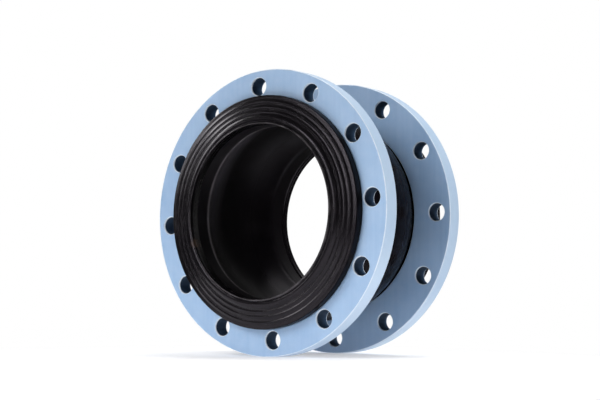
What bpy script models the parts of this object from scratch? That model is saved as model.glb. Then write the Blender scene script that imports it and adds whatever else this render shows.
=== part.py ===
"""Single-sphere rubber expansion joint with two loose (floating) steel flanges, nominal bore 250 mm.

Units are metres and +Z is up. The pipe axis is Y and the origin is the middle of the bore.
Every turned piece is drawn once as an outline of (radius, distance from the mid-plane) points,
and side is -1 for the front end (towards -Y) or +1 for the rear end (towards +Y).
"""

import math

import bmesh
import bpy
from mathutils import Matrix, Vector

MM = 0.001
FRONT, REAR = -1, 1
END_NAMES = {FRONT: "front", REAR: "rear"}

# Loose flange
FLANGE_RADIUS = 200 * MM
FLANGE_THICKNESS = 25 * MM
FLANGE_OUTER_FACE = 94 * MM  # distance from the mid-plane
FLANGE_INNER_FACE = FLANGE_OUTER_FACE - FLANGE_THICKNESS
FLANGE_BORE_RADIUS = 140 * MM
FLANGE_CHAMFER = 1.5 * MM
SEAT_RADIUS = 159 * MM  # recess in the outer face that the rubber bead sits in
SEAT_DEPTH = 13 * MM
RELIEF_RADIUS = 163.2 * MM  # shallow step in the outer face that the sealing disc's heel sits in
RELIEF_DEPTH = 0.5 * MM

# Bolt holes
BOLT_CIRCLE_RADIUS = 177.5 * MM
BOLT_HOLE_RADIUS = 12.5 * MM
BOLT_HOLES = 12
BOLT_HOLE_SIDES = 20
FIRST_HOLE_DEG = {FRONT: 4.1, REAR: 0.6}  # how far each loose flange is turned on its bead

# Rubber body
BORE_RADIUS = 121 * MM
NECK_RADIUS = 138.5 * MM
CREST_RADIUS = 155 * MM
ARCH_ARC = 150 * MM  # section radius of the sphere's wall
NECK_FILLET = 6 * MM  # section radius where the sphere meets the neck
INNER_CREST_RADIUS = 142 * MM
INNER_ARC = 141 * MM  # section radius of the sphere's inside
INNER_FILLET = 18 * MM  # section radius where the sphere's inside opens from the bore
ARCH_STEPS = 6
FILLET_STEPS = 2
GAP = 0.3 * MM  # between pieces that touch
RUNNING_GAP = 0.8 * MM  # between the bead and the flange that turns on it

# Layers from the outside in, each nested in the one before it
COVER_THICKNESS = 3.4 * MM
PLY_THICKNESS = 1.2 * MM
PLY_NAMES = ("cord_ply_outer", "cord_ply_middle", "cord_ply_inner")
COVER_END = 80.7 * MM  # the cover stops short of the bead's seat
PLY_FLARE_RADIUS = 156.5 * MM
FLARE_BASE = FLANGE_OUTER_FACE + 0.4 * MM

# Bead: a wire cable in a channel of hard rubber
CABLE_RING_RADIUS = 149 * MM
CABLE_CENTRE = 88.1 * MM
WIRE_RADIUS = 1.8 * MM
WIRES_ROUND_CORE = 6
WIRE_LAY_TURNS = 3
WIRE_STATIONS = 36
CABLE_RADIUS = 3 * WIRE_RADIUS + GAP
CHANNEL_FLOOR = 0.7 * MM
CHANNEL_INNER_RADIUS = 139.2 * MM

# Sealing face, from the disc's outer edge to the lip round the bore
DISC_RADIUS = 162.3 * MM
FACE_BASE = FLARE_BASE + 3 * PLY_THICKNESS + 3 * GAP
FACE_FOOT_RADIUS = 157.6 * MM
DISC_EDGE = 101.5 * MM  # the disc's side is straight up to here
BORE_EDGE = 113.6 * MM  # the bore is straight up to here
DISC_HEEL_CUT = 1.2 * MM
FACE_OUTLINE_MM = [  # lip, roll, then three ribs with a step inside each, and the disc's edge
    (122.4, 115.0), (123.9, 111.3), (126.2, 112.9), (131.6, 112.0), (135.4, 109.1),
    (136.4, 109.2), (138.0, 110.1), (141.3, 108.5), (143.3, 108.3), (144.9, 109.2),
    (148.3, 107.6), (151.3, 107.3), (152.9, 108.2), (156.2, 106.7), (161.4, 106.2),
]

FACETS = 48  # round pieces that show outside
HIDDEN_FACETS = 36  # the layers of the rubber wall
MERGE_DISTANCE = 0.01 * MM

COLOURS = {  # name: (colour, roughness, metallic)
    "flange_paint": ((0.40, 0.53, 0.74, 1), 0.42, 0.0),
    "black_rubber": ((0.012, 0.012, 0.014, 1), 0.38, 0.0),
    "cord_fabric": ((0.30, 0.22, 0.13, 1), 0.80, 0.0),
    "bead_rubber": ((0.025, 0.022, 0.020, 1), 0.60, 0.0),
    "bead_wire": ((0.62, 0.56, 0.44, 1), 0.35, 1.0),
}


def clear_scene():
    for item in list(bpy.data.objects):
        bpy.data.objects.remove(item, do_unlink=True)


def new_collection(name, hidden=False):
    collection = bpy.data.collections.new(name)
    bpy.context.scene.collection.children.link(collection)
    collection.hide_render = hidden
    return collection


def make_materials():
    made = {}
    for name, (colour, roughness, metallic) in COLOURS.items():
        material = bpy.data.materials.new(name)
        material.use_nodes = True
        shader = material.node_tree.nodes["Principled BSDF"]
        shader.inputs["Base Color"].default_value = colour
        shader.inputs["Roughness"].default_value = roughness
        shader.inputs["Metallic"].default_value = metallic
        made[name] = material
    return made


def place_on_axis(item, turn_deg=0.0):
    """Lays a piece drawn round local Z on the pipe axis, Y, turned round it by turn_deg."""
    turned = Matrix.Rotation(math.radians(turn_deg), 4, "Y")
    item.matrix_world = turned @ Matrix.Rotation(math.radians(-90), 4, "X")


def turned_piece(name, outline, side, facets, collection, material):
    """A closed outline of (radius, distance from mid-plane), revolved round the pipe axis.

    The outline of a rear piece runs down its outer side, so a front piece, mirrored, is reversed.
    """
    points = [(radius, 0.0, side * distance) for radius, distance in outline]
    if side == FRONT:
        points.reverse()
    mesh = bpy.data.meshes.new(name)
    edges = [(i, (i + 1) % len(points)) for i in range(len(points))]
    mesh.from_pydata(points, edges, [])
    item = bpy.data.objects.new(name, mesh)
    collection.objects.link(item)
    screw = item.modifiers.new("Turn", "SCREW")
    screw.axis = "Z"
    screw.angle = math.tau
    screw.steps = screw.render_steps = facets
    screw.use_merge_vertices = True
    screw.merge_threshold = MERGE_DISTANCE
    screw.use_smooth_shade = True
    mesh.materials.append(material)
    place_on_axis(item, turn_deg=180 / facets)
    return item


def flange_outline():
    outer, inner = FLANGE_OUTER_FACE, FLANGE_INNER_FACE
    seat_floor = outer - SEAT_DEPTH
    return [
        (FLANGE_RADIUS - FLANGE_CHAMFER, outer),
        (FLANGE_RADIUS, outer - FLANGE_CHAMFER),
        (FLANGE_RADIUS, inner + FLANGE_CHAMFER),
        (FLANGE_RADIUS - FLANGE_CHAMFER, inner),
        (FLANGE_BORE_RADIUS + FLANGE_CHAMFER, inner),
        (FLANGE_BORE_RADIUS, inner + FLANGE_CHAMFER),
        (FLANGE_BORE_RADIUS, seat_floor),
        (SEAT_RADIUS, seat_floor),
        (SEAT_RADIUS, outer - RELIEF_DEPTH),
        (RELIEF_RADIUS, outer - RELIEF_DEPTH),
        (RELIEF_RADIUS, outer),
    ]


def bolt_hole_cutter(side, collection):
    """Twelve cylinders on the bolt circle, longer than the flange is thick."""
    shape = bmesh.new()
    middle = side * (FLANGE_OUTER_FACE - FLANGE_THICKNESS / 2)
    for index in range(BOLT_HOLES):
        angle = math.radians(FIRST_HOLE_DEG[side] + index * 360 / BOLT_HOLES)
        centre = Vector((math.cos(angle), 0, math.sin(angle))) * BOLT_CIRCLE_RADIUS
        centre.y = middle
        bmesh.ops.create_cone(
            shape,
            cap_ends=True,
            segments=BOLT_HOLE_SIDES,
            radius1=BOLT_HOLE_RADIUS,
            radius2=BOLT_HOLE_RADIUS,
            depth=FLANGE_THICKNESS * 2,
            matrix=Matrix.Translation(centre) @ Matrix.Rotation(math.radians(90), 4, "X"),
        )
    name = END_NAMES[side] + "_bolt_hole_cutter"
    mesh = bpy.data.meshes.new(name)
    shape.to_mesh(mesh)
    shape.free()
    cutter = bpy.data.objects.new(name, mesh)
    collection.objects.link(cutter)
    cutter.hide_render = True
    cutter.display_type = "WIRE"
    return cutter


def make_flange(side, parts, cutters, materials):
    name = END_NAMES[side] + "_flange"
    flange = turned_piece(name, flange_outline(), side, FACETS, parts, materials["flange_paint"])
    drill = flange.modifiers.new("Bolt holes", "BOOLEAN")
    drill.operation = "DIFFERENCE"
    drill.solver = "EXACT"
    drill.object = bolt_hole_cutter(side, cutters)


def wall_curve(crest, neck, arc, fillet):
    """A surface of the wall, from the crest to the neck: the sphere's arc, then a fillet."""
    arc_centre = crest - arc
    reach = arc + fillet
    sweep = math.acos((neck + fillet - arc_centre) / reach)
    fillet_distance = reach * math.sin(sweep)
    points = []
    for step in range(ARCH_STEPS // 2 + 1):
        angle = sweep * step / (ARCH_STEPS / 2)
        points.append((arc_centre + arc * math.cos(angle), arc * math.sin(angle)))
    for step in range(1, FILLET_STEPS + 1):
        angle = sweep * (1 - step / FILLET_STEPS)
        radius = neck + fillet - fillet * math.cos(angle)
        points.append((radius, fillet_distance - fillet * math.sin(angle)))
    return points


def layer_surface(depth):
    """The surface this far inside the cover's outer surface."""
    return wall_curve(CREST_RADIUS - depth, NECK_RADIUS - depth, ARCH_ARC, NECK_FILLET)


def both_ends(half):
    """A crest-to-end run of points made into an end-to-end run, rear end first."""
    front = [(radius, -distance) for radius, distance in half[1:]]
    return list(reversed(half)) + front


def layer_outline(outer_half, inner_half):
    """Down the outer surface from the rear end to the front end, and back along the inner one."""
    return both_ends(outer_half) + list(reversed(both_ends(inner_half)))


def cover_outline():
    outer = layer_surface(0) + [(NECK_RADIUS, COVER_END)]
    inner = layer_surface(COVER_THICKNESS) + [(NECK_RADIUS - COVER_THICKNESS, COVER_END)]
    return layer_outline(outer, inner)


def ply_outline(depth, level):
    """A cord ply along the neck, turned out over the bead cable; level counts from the flange."""
    flare = FLARE_BASE + level * (PLY_THICKNESS + GAP)
    outer = layer_surface(depth) + [(NECK_RADIUS - depth, flare), (PLY_FLARE_RADIUS, flare)]
    inner = layer_surface(depth + PLY_THICKNESS) + [
        (NECK_RADIUS - depth - PLY_THICKNESS, flare + PLY_THICKNESS),
        (PLY_FLARE_RADIUS, flare + PLY_THICKNESS),
    ]
    return layer_outline(outer, inner)


def liner_outline(depth):
    end = FACE_BASE - GAP
    outer = layer_surface(depth) + [(NECK_RADIUS - depth, end)]
    inner = wall_curve(INNER_CREST_RADIUS, BORE_RADIUS, INNER_ARC, INNER_FILLET)
    inner += [(BORE_RADIUS, end)]
    return layer_outline(outer, inner)


def make_wall(parts, materials):
    """The cover, the cord plies and the liner, from the outside in."""
    rubber, cord = materials["black_rubber"], materials["cord_fabric"]
    turned_piece("outer_cover", cover_outline(), REAR, HIDDEN_FACETS, parts, rubber)
    depth = COVER_THICKNESS + GAP
    for level, name in enumerate(PLY_NAMES):
        turned_piece(name, ply_outline(depth, level), REAR, HIDDEN_FACETS, parts, cord)
        depth += PLY_THICKNESS + GAP
    turned_piece("inner_liner", liner_outline(depth), REAR, HIDDEN_FACETS, parts, rubber)


def make_sealing_face(side, parts, materials):
    """The moulded ring that seals against the pipe's flange, with its ridges and bore lip."""
    outline = [(radius * MM, distance * MM) for radius, distance in FACE_OUTLINE_MM]
    heel = FLANGE_OUTER_FACE - RELIEF_DEPTH + GAP
    outline += [
        (DISC_RADIUS, DISC_EDGE),
        (DISC_RADIUS, heel + DISC_HEEL_CUT),
        (DISC_RADIUS - DISC_HEEL_CUT, heel),
        (FACE_FOOT_RADIUS, heel),
        (FACE_FOOT_RADIUS, FACE_BASE),
        (BORE_RADIUS, FACE_BASE),
        (BORE_RADIUS, BORE_EDGE),
    ]
    name = END_NAMES[side] + "_sealing_face"
    turned_piece(name, outline, side, FACETS, parts, materials["black_rubber"])


def make_bead_filler(side, parts, materials):
    """A channel of hard rubber in the flange's seat, open on top for the cable."""
    outside = SEAT_RADIUS - RUNNING_GAP
    floor = FLANGE_OUTER_FACE - SEAT_DEPTH + GAP
    groove_floor = floor + CHANNEL_FLOOR
    groove_reach = CABLE_RADIUS + GAP
    top = FLANGE_OUTER_FACE - RELIEF_DEPTH
    outline = [
        (outside, top),
        (outside, floor),
        (CHANNEL_INNER_RADIUS, floor),
        (CHANNEL_INNER_RADIUS, top),
        (CABLE_RING_RADIUS - groove_reach, top),
        (CABLE_RING_RADIUS - groove_reach, groove_floor),
        (CABLE_RING_RADIUS + groove_reach, groove_floor),
        (CABLE_RING_RADIUS + groove_reach, top),
    ]
    name = END_NAMES[side] + "_bead_filler"
    turned_piece(name, outline, side, FACETS, parts, materials["bead_rubber"])


def wire_route(side, offset, phase):
    """Points round the bead, offset from the cable's centre line and wound round it."""
    points = []
    for station in range(WIRE_STATIONS):
        around = math.tau * station / WIRE_STATIONS
        lay = phase + WIRE_LAY_TURNS * around
        radius = CABLE_RING_RADIUS + offset * math.cos(lay)
        distance = side * (CABLE_CENTRE + offset * math.sin(lay))
        points.append((radius * math.cos(around), distance, radius * math.sin(around)))
    return points


def make_wire(name, route, parts, material):
    curve = bpy.data.curves.new(name, "CURVE")
    curve.dimensions = "3D"
    curve.twist_mode = "Z_UP"
    curve.bevel_depth = WIRE_RADIUS
    curve.bevel_resolution = 0
    curve.use_fill_caps = True
    spline = curve.splines.new("POLY")
    spline.points.add(len(route) - 1)
    for point, place in zip(spline.points, route):
        point.co = (*place, 1)
    spline.use_cyclic_u = True
    spline.use_smooth = True
    wire = bpy.data.objects.new(name, curve)
    curve.materials.append(material)
    parts.objects.link(wire)


def make_bead_cable(side, parts, materials):
    """One core wire with six wires laid round it, closed into a ring."""
    end = END_NAMES[side]
    make_wire(end + "_bead_core_wire", wire_route(side, 0, 0), parts, materials["bead_wire"])
    spacing = 2 * WIRE_RADIUS + GAP
    for index in range(WIRES_ROUND_CORE):
        phase = math.tau * index / WIRES_ROUND_CORE
        name = f"{end}_bead_wire_{index + 1}"
        make_wire(name, wire_route(side, spacing, phase), parts, materials["bead_wire"])


def main():
    clear_scene()
    parts = new_collection("rubber_expansion_joint")
    cutters = new_collection("cutters", hidden=True)
    materials = make_materials()
    make_wall(parts, materials)
    for side in (FRONT, REAR):
        make_flange(side, parts, cutters, materials)
        make_sealing_face(side, parts, materials)
        make_bead_filler(side, parts, materials)
        make_bead_cable(side, parts, materials)


main()
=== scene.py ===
"""Single-sphere rubber expansion joint with two loose steel flanges: looks, light and camera.

Units are metres, +Z is up and the pipe axis is Y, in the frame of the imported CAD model.
The flanges, the sealing faces and the layers of the rubber wall are rebuilt finely round the
CAD solids' own boxes. The wall is made as three bands, one across each joint that flexes it.
"""

import math

import bmesh
import bpy
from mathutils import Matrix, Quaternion, Vector


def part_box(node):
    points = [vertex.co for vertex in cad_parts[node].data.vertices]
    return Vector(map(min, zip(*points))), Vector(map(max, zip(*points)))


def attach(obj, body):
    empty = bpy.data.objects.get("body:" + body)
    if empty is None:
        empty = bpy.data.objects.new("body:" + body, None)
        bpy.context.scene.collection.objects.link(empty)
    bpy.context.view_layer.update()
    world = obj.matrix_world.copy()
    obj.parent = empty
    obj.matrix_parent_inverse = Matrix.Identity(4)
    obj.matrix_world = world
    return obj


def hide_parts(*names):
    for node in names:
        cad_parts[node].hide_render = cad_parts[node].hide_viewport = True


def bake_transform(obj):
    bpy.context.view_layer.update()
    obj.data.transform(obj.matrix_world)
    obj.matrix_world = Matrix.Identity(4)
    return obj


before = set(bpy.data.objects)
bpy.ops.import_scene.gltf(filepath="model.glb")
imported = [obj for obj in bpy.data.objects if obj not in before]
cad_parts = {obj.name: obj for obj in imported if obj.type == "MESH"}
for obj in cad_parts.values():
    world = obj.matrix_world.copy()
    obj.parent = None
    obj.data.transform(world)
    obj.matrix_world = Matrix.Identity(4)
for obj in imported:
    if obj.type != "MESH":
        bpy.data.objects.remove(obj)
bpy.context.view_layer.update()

MM = 0.001
FRONT, REAR = -1, 1
END_NAMES = {FRONT: "front", REAR: "rear"}

# Read from the CAD model. Its round pieces have flats, and their corners lie on the true circle.
CAD_FACETS = 48
CORNER = 1 / math.cos(math.pi / CAD_FACETS)
flange_low, flange_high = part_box("rear_flange")
face_low, face_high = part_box("rear_sealing_face")
_, cover_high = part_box("outer_cover")
FLANGE_RADIUS = flange_high.x * CORNER
FLANGE_OUTER_FACE = flange_high.y
FLANGE_INNER_FACE = flange_low.y
DISC_RADIUS = face_high.x * CORNER
DISC_HEEL = face_low.y
LIP_FACE = face_high.y
COVER_END = cover_high.y

# Loose flange
FLANGE_BORE_RADIUS = 140 * MM
SEAT_RADIUS = 159 * MM
SEAT_DEPTH = 13 * MM
RELIEF_RADIUS = 163.2 * MM
RELIEF_DEPTH = 0.5 * MM
RIM_CUT = 1.8 * MM  # how far from the corner the rim's rounding starts
EDGE_CUT = 0.4 * MM
BOLT_CIRCLE_RADIUS = 177.5 * MM
BOLT_HOLE_RADIUS = 12.5 * MM
BOLT_HOLES = 12
FIRST_HOLE_DEG = {FRONT: 4.1, REAR: 0.6}
HOLE_STEPS = 56
HOLE_CHAMFER = 1.5 * MM
HOLE_FLARE = [  # the drill's edge in chamfer sizes: out from the hole's wall, and past the face
    (0.0, -1.3), (0.18, -0.6), (0.55, -0.15), (1.0, 0.12), (2.2, 0.9),
]
UPRIGHT_TILT, FLAT_TILT = 0.12, 0.96  # |normal.y| of a rim or hole wall is less, of a face more
RIM_WEAR_AND_HIGHLIGHT, HOLE_EDGE_WEAR_AND_HIGHLIGHT = 1.3, 2.2  # how pale these edges are made: worn paint, and painted highlight

# Sealing face
RIDGES_MM = [  # from the disc's edge to the lip: radius, distance from the mid-plane, rounding
    (161.9, 106.2, 1.5), (156.2, 106.7, 0.6), (152.9, 108.2, 0.5), (151.3, 107.3, 0.3),
    (148.3, 107.6, 0.5), (144.9, 109.2, 0.5), (143.3, 108.3, 0.3),
    (141.3, 108.5, 0.5), (138.0, 110.1, 0.5), (136.4, 109.2, 0.3),
    (135.4, 109.1, 0.5), (131.6, 112.0, 2.4), (126.2, 112.9, 2.6),
    (123.9, 111.3, 0.4), (122.8, 114.4, 0.7), (121.0, 114.7, 1.1),
]
DISC_EDGE = 102.0 * MM  # the disc's side is straight up to here
HEEL_CUT = 1.7 * MM
LIP_HEIGHT = 4 * MM
DULL_SIDE_DEPTH = 1.0 * MM  # the disc's side is duller rubber this far in
NICK_DEG, NICK_HALF_WIDTH_DEG = -91.25, 0.7
NICK_REACH = 124.6 * MM
NICK_DEPTH = 1.3 * MM

# Marks on the rubber, in metres: painted light at the arch's mouth and along the lips, and a real scuff.
# Where each mark starts and where it is full, or fades and ends
MOUTH_GLOW_RISE, MOUTH_GLOW_FALL = (0.020, 0.072), (0.0735, 0.0765)  # forward of the mid-plane
MOUTH_GLOW_UPWARDS = (-0.06, 0.08)
MOUTH_RING_RISE, MOUTH_RING_FALL = (0.0700, 0.0735), (0.0755, 0.0790)  # forward of the mid-plane
LIP_RING_RISE, LIP_RING_FALL = (0.1212, 0.1222), (0.1230, 0.1240)  # from the pipe axis
SCUFF_PLACE = (-0.114, -0.106, -0.041)
SCUFF_FADE = (0.004, 0.010)  # from the scuff's middle

# Rubber wall
BORE_RADIUS = 121 * MM
NECK_RADIUS = 138.5 * MM
CREST_RADIUS = 155 * MM
ARCH_ARC = 150 * MM
NECK_FILLET = 6 * MM
INNER_CREST_RADIUS = 142 * MM
INNER_FILLET = 18 * MM
INNER_ARC = 141 * MM
COVER_THICKNESS = 3.4 * MM
PLY_THICKNESS = 1.2 * MM
PLY_NAMES = ("cord_ply_outer", "cord_ply_middle", "cord_ply_inner")
PLY_FLARE_RADIUS = 156.5 * MM
GAP = 0.3 * MM
FLARE_BASE = FLANGE_OUTER_FACE + 0.4 * MM
FACE_BASE = FLARE_BASE + 3 * (PLY_THICKNESS + GAP)
FACE_FOOT_RADIUS = 157.6 * MM

# Along the pipe axis: where the wall stretches and where it shears. In between it bends.
STRETCH_START, STRETCH_END = -70 * MM, -26 * MM
SHEAR_START, SHEAR_END = 40 * MM, 74 * MM
SEAM_GUARD = 0.3 * MM  # a ring this close to each seam keeps the shading even across it
STATION_SPACING = 2.4 * MM

TURN_STEPS = 288

# Studio and camera
FLOOR_REACH, FLOOR_SIDES = 0.62, 96
FLOOR_CENTRE = (0.08, -0.38)
PANEL_SPILL = 0.02  # what each panel adds to the room all round
PANELS = (  # towards, cosine at the panel's edge and where it is full, level
    ((-0.59, 0.74, 0.32), 0.62, 0.80, 0.3),
    ((-0.25, -0.95, 0.17), 0.84, 0.98, 0.12),
)
SOFTBOXES = (  # name, place, size, watts, roll in degrees, the rays that don't see it
    ("front_left", (-0.98, -2.43, 1.84), (2.6, 1.4), 57, 0, ("glossy",)),
    ("left_glint", (-2.01, -0.73, 1.09), (2.2, 0.5), 23, -40, ("diffuse",)),
    ("front_glint", (-0.70, -2.25, 0.66), (1.05, 0.24), 12, -65, ("diffuse",)),
    ("top", (0.15, 0.35, 1.9), (1.6, 1.2), 22, 0, ()),
    ("back_left", (-1.3, 2.2, 1.3), (1.8, 1.2), 34, 0, ("glossy",)),
    ("floor_bounce", (0.05, -0.55, -0.12), (0.5, 0.1), 0.55, 0, ("glossy", "camera")),
    ("right_back", (1.9, 0.65, 0.75), (0.9, 1.4), 34, 0, ("glossy",)),
)
CAMERA_PLACE = (1.1099, -1.4988, -0.1237)
CAMERA_YAW_DEG, CAMERA_PITCH_DEG = 36.78, 4.49
CAMERA_LENS, CAMERA_SENSOR = 77.54, 36


# ---------------------------------------------------------------- mesh making


def rounded(corners, steps=5):
    """A closed outline through these corners, each one cut back and rounded by its own amount."""
    points = []
    for index, (radius, distance, cut) in enumerate(corners):
        corner = Vector((radius, distance))
        if not cut:
            points.append(corner)
            continue
        before = Vector(corners[index - 1][:2])
        after = Vector(corners[(index + 1) % len(corners)][:2])
        start = corner + (before - corner).normalized() * cut
        end = corner + (after - corner).normalized() * cut
        for step in range(steps + 1):
            t = step / steps
            points.append(start * (1 - t) ** 2 + corner * (2 * t * (1 - t)) + end * t ** 2)
    return points


def link(name, shape, material):
    """A new object from a bmesh, smooth shaded, with its normals outwards."""
    bmesh.ops.recalc_face_normals(shape, faces=shape.faces)
    for face in shape.faces:
        face.smooth = True
    mesh = bpy.data.meshes.new(name)
    shape.to_mesh(mesh)
    shape.free()
    mesh.materials.append(material)
    item = bpy.data.objects.new(name, mesh)
    bpy.context.scene.collection.objects.link(item)
    return item


def turned(outline, side=REAR, steps=TURN_STEPS):
    """A closed outline of (radius, distance from the mid-plane) turned round the pipe axis."""
    shape = bmesh.new()
    rings = []
    for step in range(steps):
        angle = math.tau * step / steps
        along, up = math.cos(angle), math.sin(angle)
        rings.append([shape.verts.new((r * along, side * d, r * up)) for r, d in outline])
    for step, ring in enumerate(rings):
        following = rings[(step + 1) % steps]
        for index in range(len(ring)):
            after = (index + 1) % len(ring)
            shape.faces.new((ring[index], ring[after], following[after], following[index]))
    return shape


def keep_rest_places(item):
    """Stores where each point is at rest, so that a pattern stays on the rubber as it flexes."""
    places = item.data.attributes.new("rest_place", "FLOAT_VECTOR", "POINT")
    for index, vertex in enumerate(item.data.vertices):
        places.data[index].vector = vertex.co


def weight_normals(item):
    """Flat faces stay flat in the shading up to their rounded edges."""
    item.modifiers.new("Even shading", "WEIGHTED_NORMAL")


def drilled(item, cutter):
    """Takes the cutter out of the item for good, and removes the cutter."""
    modifier = item.modifiers.new("Drill", "BOOLEAN")
    modifier.operation = "DIFFERENCE"
    modifier.solver = "EXACT"
    modifier.object = cutter
    graph = bpy.context.evaluated_depsgraph_get()
    mesh = bpy.data.meshes.new_from_object(item.evaluated_get(graph))
    item.modifiers.clear()
    item.data = mesh
    bpy.data.objects.remove(cutter)


# ---------------------------------------------------------------- materials


class Nodes:
    """Short calls for building one material's node tree."""

    def __init__(self, name):
        self.material = bpy.data.materials.new(name)
        self.material.use_nodes = True
        self.tree = self.material.node_tree
        self.shader = self.tree.nodes["Principled BSDF"]

    def add(self, kind, inputs=None, **settings):
        node = self.tree.nodes.new(kind)
        for key, value in settings.items():
            setattr(node, key, value)
        for key, value in (inputs or {}).items():
            if isinstance(value, bpy.types.NodeSocket):
                self.tree.links.new(value, node.inputs[key])
            else:
                node.inputs[key].default_value = value
        return node

    def math(self, operation, first, second=0.0):
        return self.add("ShaderNodeMath", {0: first, 1: second}, operation=operation).outputs[0]

    def noise(self, place, scale, detail=3.0, roughness=0.5):
        inputs = {"Vector": place, "Scale": scale, "Detail": detail, "Roughness": roughness}
        return self.add("ShaderNodeTexNoise", inputs).outputs["Fac"]

    def spread(self, value, low, high, to_low=0.0, to_high=1.0):
        inputs = {0: value, 1: low, 2: high, 3: to_low, 4: to_high}
        return self.add("ShaderNodeMapRange", inputs, clamp=True).outputs[0]

    def mix(self, factor, first, second):
        node = self.add("ShaderNodeMix", data_type="RGBA")
        for index, value in ((0, factor), (6, first), (7, second)):
            if isinstance(value, bpy.types.NodeSocket):
                self.tree.links.new(value, node.inputs[index])
            else:
                node.inputs[index].default_value = value
        return node.outputs[2]

    def place(self, attribute=None):
        if attribute:
            return self.add("ShaderNodeAttribute", attribute_name=attribute).outputs["Vector"]
        return self.add("ShaderNodeTexCoord").outputs["Object"]

    def xyz(self, place):
        return self.add("ShaderNodeSeparateXYZ", {0: place}).outputs

    def radius(self, x, z):
        """Distance from the pipe axis."""
        return self.math("SQRT", self.math("ADD", self.times(x, x), self.times(z, z)))

    def times(self, *factors):
        product = factors[0]
        for factor in factors[1:]:
            product = self.math("MULTIPLY", product, factor)
        return product

    def attribute(self, name):
        return self.add("ShaderNodeAttribute", attribute_name=name).outputs["Fac"]

    def ring_place(self, place, around, across):
        """Coordinates that run slowly round the pipe axis and quickly across it, with no seam."""
        x, y, z = self.xyz(place)
        radius = self.radius(x, z)
        inputs = {
            0: self.times(self.math("DIVIDE", x, radius), around),
            1: self.times(self.math("ADD", radius, self.times(y, 0.73)), across),
            2: self.times(self.math("DIVIDE", z, radius), around),
        }
        return self.add("ShaderNodeCombineXYZ", inputs).outputs[0]

    def bump(self, height, depth, normal=None):
        inputs = {"Height": height, "Distance": depth, "Strength": 1.0}
        if normal is not None:
            inputs["Normal"] = normal
        return self.add("ShaderNodeBump", inputs).outputs[0]

    def feed(self, **sockets):
        for name, value in sockets.items():
            socket = self.shader.inputs[name.replace("_", " ")]
            if isinstance(value, bpy.types.NodeSocket):
                self.tree.links.new(value, socket)
            else:
                socket.default_value = value
        return self.material


def paint_material():
    """Light steel-blue satin paint on machined steel: cloudy, brushed, and pale on its edges from wear and
    painted highlight. Rims are painted paler as a highlight, hole walls darker as painted shade.
    """
    n = Nodes("steel_blue_paint")
    place = n.place()
    clouds = n.noise(place, 14.0, 4.0)
    mottle = n.noise(place, 75.0, 5.0, 0.6)
    specks = n.noise(place, 900.0, 2.0)
    blue, light_blue = (0.305, 0.470, 0.705, 1), (0.385, 0.555, 0.785, 1)
    base = n.mix(n.spread(clouds, 0.3, 0.7), blue, light_blue)
    base = n.mix(n.spread(mottle, 0.35, 0.75, 0.0, 0.35), base, (0.46, 0.58, 0.77, 1))
    base = n.mix(n.spread(specks, 0.62, 0.8, 0.0, 0.25), base, (0.22, 0.33, 0.52, 1))
    stroke = n.add("ShaderNodeVectorMath", {0: place, 1: (150.0, 30.0, 7.0)}, operation="MULTIPLY")
    strokes = n.noise(stroke.outputs[0], 1.0, 3.0, 0.55)
    base = n.mix(n.spread(strokes, 0.40, 0.72, 0.0, 0.30), base, (0.265, 0.425, 0.67, 1))
    # Pale edges: worn paint, and painted highlight along the rim's and the holes' rounded edges.
    worn_and_lit_edge = n.times(n.attribute("edge"), n.spread(mottle, 0.3, 0.6, 0.35, 0.9))
    base = n.mix(worn_and_lit_edge, base, (0.73, 0.82, 0.93, 1))
    # Painted highlight: the outer rim is painted a paler blue, where strong light from the right and above
    # falls on it.
    rim_blue, pale_rim_blue = (0.43, 0.565, 0.735, 1), (0.49, 0.615, 0.765, 1)
    rim_painted_highlight = n.mix(n.spread(clouds, 0.3, 0.7), rim_blue, pale_rim_blue)
    base = n.mix(n.attribute("rim"), base, rim_painted_highlight)
    # Hole walls: thin dark paint, with painted shade for the shade deep in the bolt holes.
    hole_shade_mask = n.attribute("shaded_hole_walls")
    thin_paint_painted_shade = (0.028, 0.054, 0.098, 1)
    base = n.mix(hole_shade_mask, base, thin_paint_painted_shade)
    rough = n.math("MAXIMUM", n.spread(mottle, 0.2, 0.8, 0.34, 0.52), n.times(hole_shade_mask, 0.9))
    turning = n.noise(n.ring_place(place, 2.0, 900.0), 1.0, 2.0)
    skin = n.bump(n.noise(place, 420.0, 2.0), 0.00006)
    normal = n.bump(turning, 0.00003, skin)
    return n.feed(Base_Color=base, Roughness=rough, Normal=normal, IOR=1.5)


def mouth_painted_light(n, place, base):
    """Painted light on the front half of the liner's arch, paler towards the top and in bloom-like
    patches, and a painted highlight ring where the arch leaves the bore.
    """
    patches = n.noise(place, 26.0, 4.0, 0.6)
    _, y, z = n.xyz(place)
    forward = n.times(y, -1.0)
    # Painted light: paler grey on the front half of the arch, strongest towards the top, broken into
    # bloom-like patches.
    painted_glow = n.times(
        n.spread(forward, *MOUTH_GLOW_RISE),
        n.spread(z, *MOUTH_GLOW_UPWARDS, 0.06, 1.0),
        n.spread(patches, 0.25, 0.7, 0.55, 1.0),
        n.spread(forward, *MOUTH_GLOW_FALL, 1.0, 0.05),
    )
    glow_grey, highlight_grey = (0.220, 0.205, 0.235, 1), (0.250, 0.225, 0.245, 1)
    base = n.mix(painted_glow, base, glow_grey)
    # Painted highlight: a paler ring where the arch's front edge leaves the bore.
    rise = n.spread(forward, *MOUTH_RING_RISE)
    fall = n.spread(forward, *MOUTH_RING_FALL, 1.0, 0.0)
    ring = n.times(rise, fall, n.spread(patches, 0.3, 0.6, 0.5, 1.0))
    return n.mix(ring, base, highlight_grey)


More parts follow.
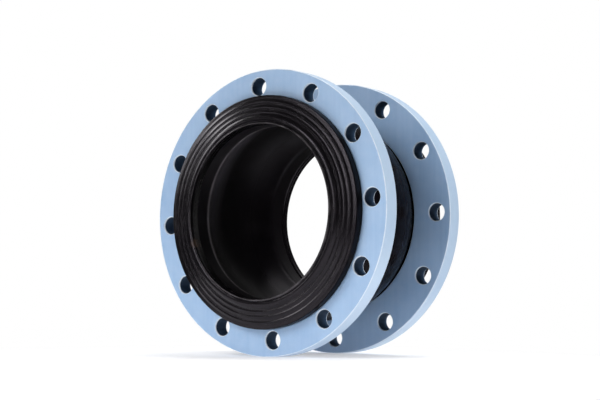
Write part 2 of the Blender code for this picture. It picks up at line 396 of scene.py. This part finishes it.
def lip_scuff_and_highlight(n, place, base):
    """A brownish scuff inside the front lip, and a painted highlight along both lips' inner edges."""
    grain = n.noise(place, 1400.0, 2.0)
    to_scuff = n.add("ShaderNodeVectorMath", {0: place, 1: SCUFF_PLACE}, operation="DISTANCE")
    away = n.math("ADD", to_scuff.outputs["Value"], n.spread(grain, 0.3, 0.7, -0.002, 0.002))
    brown, highlight_grey = (0.17, 0.11, 0.075, 1), (0.085, 0.078, 0.084, 1)
    base = n.mix(n.spread(away, *SCUFF_FADE, 0.55, 0.0), base, brown)
    x, _, z = n.xyz(place)
    radius = n.radius(x, z)
    # Painted highlight along the inner edge of each lip.
    lip = n.times(n.spread(radius, *LIP_RING_RISE), n.spread(radius, *LIP_RING_FALL, 1.0, 0.0))
    lip_painted_highlight = n.times(lip, n.spread(n.noise(place, 60.0, 3.0), 0.35, 0.65, 0.15, 1.0))
    return n.mix(lip_painted_highlight, base, highlight_grey)


def rubber_material(name, bloom, dullness, specular, wear_and_painted_light=None):
    """Moulded black rubber: brown-black, with streaks of bloom that run round the ring."""
    n = Nodes(name)
    place = n.place("rest_place")
    streaks = n.noise(n.ring_place(place, 3.2, 260.0), 1.0, 4.0, 0.6)
    patches = n.noise(place, 26.0, 4.0, 0.6)
    grain = n.noise(place, 1400.0, 2.0)
    lines = n.noise(n.ring_place(place, 1.2, 1300.0), 1.0, 2.0)
    black, brown_black = (0.0026, 0.0021, 0.0030, 1), (0.0052, 0.0043, 0.0053, 1)
    base = n.mix(n.spread(patches, 0.3, 0.7), black, brown_black)
    dusty = n.times(n.spread(streaks, 0.50, 0.78), n.spread(patches, 0.35, 0.65))
    dust = (0.060, 0.054, 0.058, 1)
    base = n.mix(n.times(dusty, bloom), base, dust)
    if wear_and_painted_light:
        base = wear_and_painted_light(n, place, base)
    gloss = n.spread(streaks, 0.25, 0.75, 0.16 + dullness, 0.30 + dullness)
    rough = n.math("ADD", gloss, n.times(dusty, 0.12))
    normal = n.bump(lines, 0.00003, n.bump(grain, 0.00002))
    return n.feed(
        Base_Color=base, Roughness=rough, Normal=normal, IOR=1.52,
        Specular_IOR_Level=specular, Specular_Tint=(0.96, 0.88, 1.0, 1),
    )


def cord_material():
    """Rubberised tyre-cord fabric: parallel brown cords with dark rubber between them."""
    n = Nodes("tyre_cord_fabric")
    place = n.place("rest_place")
    x, y, z = n.xyz(place)
    slant = n.math("ADD", n.times(n.math("ARCTAN2", z, x), 0.14), n.times(y, 0.9))
    cords = n.math("ABSOLUTE", n.math("SINE", n.times(slant, 2600.0)))
    fuzz = n.noise(place, 800.0, 3.0)
    base = n.mix(n.spread(cords, 0.15, 0.6), (0.03, 0.024, 0.02, 1), (0.26, 0.18, 0.10, 1))
    base = n.mix(n.spread(fuzz, 0.5, 0.75, 0.0, 0.3), base, (0.42, 0.33, 0.22, 1))
    normal = n.bump(cords, 0.0003)
    return n.feed(Base_Color=base, Roughness=n.spread(fuzz, 0.2, 0.8, 0.7, 0.9), Normal=normal)


def filler_material():
    """Hard bead rubber, matt and slightly brown."""
    n = Nodes("hard_bead_rubber")
    place = n.place()
    patches = n.noise(place, 60.0, 4.0)
    base = n.mix(n.spread(patches, 0.3, 0.7), (0.014, 0.012, 0.011, 1), (0.032, 0.027, 0.024, 1))
    normal = n.bump(n.noise(place, 700.0, 3.0), 0.0001)
    return n.feed(Base_Color=base, Roughness=n.spread(patches, 0.2, 0.8, 0.52, 0.68), Normal=normal)


def wire_material():
    """Brass-coated drawn steel wire with fine drawing marks."""
    n = Nodes("bead_wire_steel")
    place = n.place()
    tarnish = n.noise(place, 120.0, 4.0)
    base = n.mix(n.spread(tarnish, 0.35, 0.7), (0.56, 0.43, 0.23, 1), (0.62, 0.58, 0.48, 1))
    normal = n.bump(n.noise(n.ring_place(place, 2.0, 2500.0), 1.0, 2.0), 0.00003)
    rough = n.spread(tarnish, 0.2, 0.8, 0.26, 0.42)
    return n.feed(Base_Color=base, Metallic=1.0, Roughness=rough, Normal=normal)


# ---------------------------------------------------------------- flanges


def flange_outline():
    outer, inner = FLANGE_OUTER_FACE, FLANGE_INNER_FACE
    seat_floor = outer - SEAT_DEPTH
    return rounded([
        (FLANGE_RADIUS, outer, RIM_CUT),
        (FLANGE_RADIUS, inner, RIM_CUT),
        (FLANGE_BORE_RADIUS, inner, RIM_CUT),
        (FLANGE_BORE_RADIUS, seat_floor, EDGE_CUT),
        (SEAT_RADIUS, seat_floor, EDGE_CUT),
        (SEAT_RADIUS, outer - RELIEF_DEPTH, 0),
        (RELIEF_RADIUS, outer - RELIEF_DEPTH, 0),
        (RELIEF_RADIUS, outer, EDGE_CUT / 2),
    ])


def hole_cutter(side):
    """Twelve drills that open out into a small rounded chamfer at both faces."""
    middle = (FLANGE_OUTER_FACE + FLANGE_INNER_FACE) / 2
    half = (FLANGE_OUTER_FACE - FLANGE_INNER_FACE) / 2
    mouth = [
        (BOLT_HOLE_RADIUS + HOLE_CHAMFER * out, half + HOLE_CHAMFER * past)
        for out, past in HOLE_FLARE
    ]
    outline = [(radius, -place) for radius, place in reversed(mouth)] + mouth
    shape = bmesh.new()
    for index in range(BOLT_HOLES):
        angle = math.radians(FIRST_HOLE_DEG[side] + index * 360 / BOLT_HOLES)
        x, z = BOLT_CIRCLE_RADIUS * math.cos(angle), BOLT_CIRCLE_RADIUS * math.sin(angle)
        rings = []
        for radius, place in outline:
            ring = []
            for step in range(HOLE_STEPS):
                turn = math.tau * step / HOLE_STEPS
                across, up = radius * math.cos(turn), radius * math.sin(turn)
                ring.append(shape.verts.new((x + across, side * middle + place, z + up)))
            rings.append(ring)
        for near, far in zip(rings, rings[1:]):
            for step in range(HOLE_STEPS):
                after = (step + 1) % HOLE_STEPS
                shape.faces.new((near[step], near[after], far[after], far[step]))
        shape.faces.new(rings[0])
        shape.faces.new(rings[-1])
    return link(END_NAMES[side] + "_hole_cutter", shape, None)


def mark_edges(item):
    """Marks the narrow rounded faces, pale from wear and painted highlight, the rim faces for a painted
    highlight, and the hole walls for thin paint and painted shade.
    """
    edges = item.data.attributes.new("edge", "FLOAT", "FACE")
    walls = item.data.attributes.new("shaded_hole_walls", "FLOAT", "FACE")
    lit_rims = item.data.attributes.new("rim", "FLOAT", "FACE")
    for face in item.data.polygons:
        tilt = abs(face.normal.y)
        out = math.hypot(face.center.x, face.center.z)
        in_hole = abs(out - BOLT_CIRCLE_RADIUS) < BOLT_HOLE_RADIUS + HOLE_CHAMFER
        on_rim = out > FLANGE_RADIUS - RIM_CUT
        if UPRIGHT_TILT < tilt < FLAT_TILT:
            edges.data[face.index].value = HOLE_EDGE_WEAR_AND_HIGHLIGHT if in_hole else RIM_WEAR_AND_HIGHLIGHT
        lit_rims.data[face.index].value = 1.0 if tilt < UPRIGHT_TILT and on_rim else 0.0
        walls.data[face.index].value = 1.0 if tilt < UPRIGHT_TILT and in_hole else 0.0


def make_flange(side, paint):
    end = END_NAMES[side]
    flange = link(end + "_flange_painted", turned(flange_outline(), side), paint)
    drilled(flange, hole_cutter(side))
    mark_edges(flange)
    weight_normals(flange)
    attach(flange, end + "_loose_flange")
    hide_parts(end + "_flange")


# ---------------------------------------------------------------- sealing faces


def face_outline():
    """From the disc's side over three ridges to the lip round the bore, and back underneath."""
    corners = [(radius * MM, distance * MM, cut * MM) for radius, distance, cut in RIDGES_MM]
    corners += [
        (BORE_RADIUS, LIP_FACE - LIP_HEIGHT, 0),
        (BORE_RADIUS, FACE_BASE, 0),
        (FACE_FOOT_RADIUS, FACE_BASE, 0),
        (FACE_FOOT_RADIUS, DISC_HEEL, 0),
        (DISC_RADIUS, DISC_HEEL, HEEL_CUT),
        (DISC_RADIUS, DISC_EDGE, 0),
    ]
    return rounded(corners)


def nick_lip(face):
    """A small cut across the lip at the bottom of the bore."""
    for vertex in face.data.vertices:
        x, y, z = vertex.co
        away = abs(math.degrees(math.atan2(z, x)) - NICK_DEG)
        on_lip = math.hypot(x, z) < NICK_REACH and abs(y) > LIP_FACE - NICK_DEPTH
        if on_lip and away < NICK_HALF_WIDTH_DEG:
            vertex.co.y += NICK_DEPTH


def make_sealing_face(side, rubber, side_rubber):
    end = END_NAMES[side]
    face = link(end + "_face_moulded", turned(face_outline(), side), rubber)
    face.data.materials.append(side_rubber)
    for polygon in face.data.polygons:
        out = math.hypot(polygon.center.x, polygon.center.z)
        polygon.material_index = 1 if out > DISC_RADIUS - DULL_SIDE_DEPTH else 0
    keep_rest_places(face)
    if side == FRONT:
        nick_lip(face)
    weight_normals(face)
    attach(face, end + "_bead_end")
    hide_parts(end + "_sealing_face")


# ---------------------------------------------------------------- rubber wall


def wall_radius(crest, neck, arc, fillet, distance):
    """Radius of one surface of the wall at this distance from the mid-plane."""
    arc_centre = crest - arc
    reach = arc + fillet
    sweep = math.acos((neck + fillet - arc_centre) / reach)
    away = abs(distance)
    if away < arc * math.sin(sweep):
        return arc_centre + math.sqrt(arc ** 2 - away ** 2)
    if away < reach * math.sin(sweep):
        return neck + fillet - math.sqrt(fillet ** 2 - (reach * math.sin(sweep) - away) ** 2)
    return neck


def layer(depth, thickness):
    """The two surfaces of a layer that starts this deep under the cover's outer surface."""
    outer = (CREST_RADIUS - depth, NECK_RADIUS - depth, ARCH_ARC, NECK_FILLET)
    inner = (outer[0] - thickness, outer[1] - thickness, ARCH_ARC, NECK_FILLET)
    return outer, inner


def stations(start, end):
    """Distances from start to end, evenly spaced, with one more close to each end."""
    count = max(2, round((end - start) / STATION_SPACING))
    even = [start + (end - start) * step / count for step in range(count + 1)]
    return [even[0], even[0] + SEAM_GUARD, *even[1:-1], even[-1] - SEAM_GUARD, even[-1]]


def band_outline(surfaces, start, end, flare=0.0):
    """The outline of one band of a layer. A layer with a flare turns out over the bead at its end."""
    outer, inner = surfaces
    places = stations(start, end)
    upper = [(wall_radius(*outer, d), d) for d in places]
    lower = [(wall_radius(*inner, d), d) for d in places]
    if flare and start < STRETCH_START:
        upper = [(PLY_FLARE_RADIUS, -flare), (outer[1], -flare)] + upper[1:]
        lower = [(PLY_FLARE_RADIUS, start), (inner[1], start)] + lower[1:]
    if flare and end > SHEAR_END:
        upper = upper[:-1] + [(outer[1], flare), (PLY_FLARE_RADIUS, flare)]
        lower = lower[:-1] + [(inner[1], end), (PLY_FLARE_RADIUS, end)]
    return upper + lower[::-1]


def make_layer(node, surfaces, end, material, flare=0.0):
    """One layer of the wall as three bands, split at the joints."""
    bands = [  # name, ends of the band, bodies it joins, ends of the blend
        ("stretching", -end, STRETCH_END, "front_bead_end", "front_half_wall", STRETCH_START, STRETCH_END),
        ("bending", STRETCH_END, SHEAR_START, "front_half_wall", "rear_half_wall",
         STRETCH_END, SHEAR_START),
        ("shearing", SHEAR_START, end, "rear_half_wall", "rear_bead_end", SHEAR_START, SHEAR_END),
    ]
    for kind, low, high, near_body, far_body, blend_start, blend_end in bands:
        outline = band_outline(surfaces, low, high, flare)
        band = link(f"{node}_{kind}", turned(outline), material)
        keep_rest_places(band)
        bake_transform(band)
        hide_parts(node)


def make_wall(cover, lining, cord):
    make_layer("outer_cover", layer(0, COVER_THICKNESS), COVER_END, cover)
    depth = COVER_THICKNESS + GAP
    for level, name in enumerate(PLY_NAMES):
        flare = FLARE_BASE + level * (PLY_THICKNESS + GAP)
        make_layer(name, layer(depth, PLY_THICKNESS), flare + PLY_THICKNESS, cord, flare)
        depth += PLY_THICKNESS + GAP
    outer = (CREST_RADIUS - depth, NECK_RADIUS - depth, ARCH_ARC, NECK_FILLET)
    inner = (INNER_CREST_RADIUS, BORE_RADIUS, INNER_ARC, INNER_FILLET)
    make_layer("inner_liner", (outer, inner), FACE_BASE, lining)


# ---------------------------------------------------------------- bead pieces kept from the CAD model


def finish_bead_pieces(filler, wire):
    for name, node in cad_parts.items():
        if node.hide_render:
            continue
        node.data.materials.clear()
        node.data.materials.append(filler if "filler" in name else wire)


# ---------------------------------------------------------------- studio and camera


def make_floor():
    shape = bmesh.new()
    corners = []
    for side in range(FLOOR_SIDES):
        angle = math.tau * side / FLOOR_SIDES
        corners.append((FLOOR_REACH * math.cos(angle), FLOOR_REACH * math.sin(angle), 0))
    shape.faces.new([shape.verts.new(corner) for corner in corners])
    n = Nodes("pale_floor")
    n.feed(Base_Color=(0.75, 0.75, 0.76, 1), Roughness=1.0, IOR=1.0)
    n.feed(Emission_Color=(0.975, 0.975, 1.0, 1), Emission_Strength=0.35)
    floor = link("studio_floor", shape, n.material)
    floor.location = (*FLOOR_CENTRE, -FLANGE_RADIUS)


def make_world():
    """White to the camera. As light, a dim room with a soft bright panel behind and one in front."""
    world = bpy.data.worlds.new("studio_world")
    bpy.context.scene.world = world
    world.use_nodes = True
    tree = world.node_tree
    tree.nodes.clear()
    direction = tree.nodes.new("ShaderNodeTexCoord").outputs["Generated"]
    level = None
    for towards, edge, core, strength in PANELS:
        facing = tree.nodes.new("ShaderNodeVectorMath")
        facing.operation = "DOT_PRODUCT"
        facing.inputs[1].default_value = towards
        tree.links.new(direction, facing.inputs[0])
        panel = tree.nodes.new("ShaderNodeMapRange")
        for index, value in enumerate((0, edge, core, PANEL_SPILL, strength)):
            panel.inputs[index].default_value = value
        tree.links.new(facing.outputs["Value"], panel.inputs[0])
        both = tree.nodes.new("ShaderNodeMath")
        both.inputs[0].default_value = 0.0
        if level:
            tree.links.new(level, both.inputs[0])
        tree.links.new(panel.outputs[0], both.inputs[1])
        level = both.outputs[0]
    rays = tree.nodes.new("ShaderNodeLightPath")
    shown = tree.nodes.new("ShaderNodeMix")
    shown.inputs["B"].default_value = 1.0
    tree.links.new(rays.outputs["Is Camera Ray"], shown.inputs["Factor"])
    tree.links.new(level, shown.inputs["A"])
    light = tree.nodes.new("ShaderNodeBackground")
    light.inputs["Color"].default_value = (1.0, 1.0, 1.0, 1)
    tree.links.new(shown.outputs["Result"], light.inputs["Strength"])
    output = tree.nodes.new("ShaderNodeOutputWorld")
    tree.links.new(light.outputs[0], output.inputs[0])


def softbox(name, place, size, watts, roll_deg, unseen_by):
    """A lamp aimed at the object's middle."""
    lamp = bpy.data.lights.new(name, "AREA")
    lamp.shape = "RECTANGLE"
    lamp.size, lamp.size_y = size
    lamp.energy = watts
    item = bpy.data.objects.new(name, lamp)
    item.location = place
    item.rotation_mode = "QUATERNION"
    aim = (-Vector(place)).to_track_quat("-Z", "Y")
    item.rotation_quaternion = aim @ Quaternion((0, 0, 1), math.radians(roll_deg))
    for rays in unseen_by:
        setattr(item, "visible_" + rays, False)
    bpy.context.scene.collection.objects.link(item)


def make_camera():
    """Low, in front and to the right, looking slightly up at the bore."""
    camera = bpy.data.cameras.new("camera")
    camera.sensor_width = CAMERA_SENSOR
    camera.lens = CAMERA_LENS
    item = bpy.data.objects.new("camera", camera)
    item.location = CAMERA_PLACE
    yaw, pitch = math.radians(CAMERA_YAW_DEG), math.radians(CAMERA_PITCH_DEG)
    item.rotation_euler = (math.pi / 2 + pitch, 0, yaw)
    bpy.context.scene.collection.objects.link(item)
    bpy.context.scene.camera = item


# ---------------------------------------------------------------- the scene

paint = paint_material()
rubber = rubber_material("moulded_rubber", bloom=0.24, dullness=0.0, specular=0.26, wear_and_painted_light=lip_scuff_and_highlight)
lining = rubber_material("lining_rubber", bloom=0.08, dullness=0.14, specular=0.18, wear_and_painted_light=mouth_painted_light)
side_rubber = rubber_material("side_rubber", bloom=0.0, dullness=0.10, specular=0.08)
cover = rubber_material("cover_rubber", bloom=0.0, dullness=0.02, specular=0.05)
make_wall(cover, lining, cord_material())
for end_side in (FRONT, REAR):
    make_flange(end_side, paint)
    make_sealing_face(end_side, rubber, side_rubber)
finish_bead_pieces(filler_material(), wire_material())
make_floor()
make_world()
for box in SOFTBOXES:
    softbox(*box)
make_camera()
bpy.context.scene.view_settings.view_transform = "Standard"
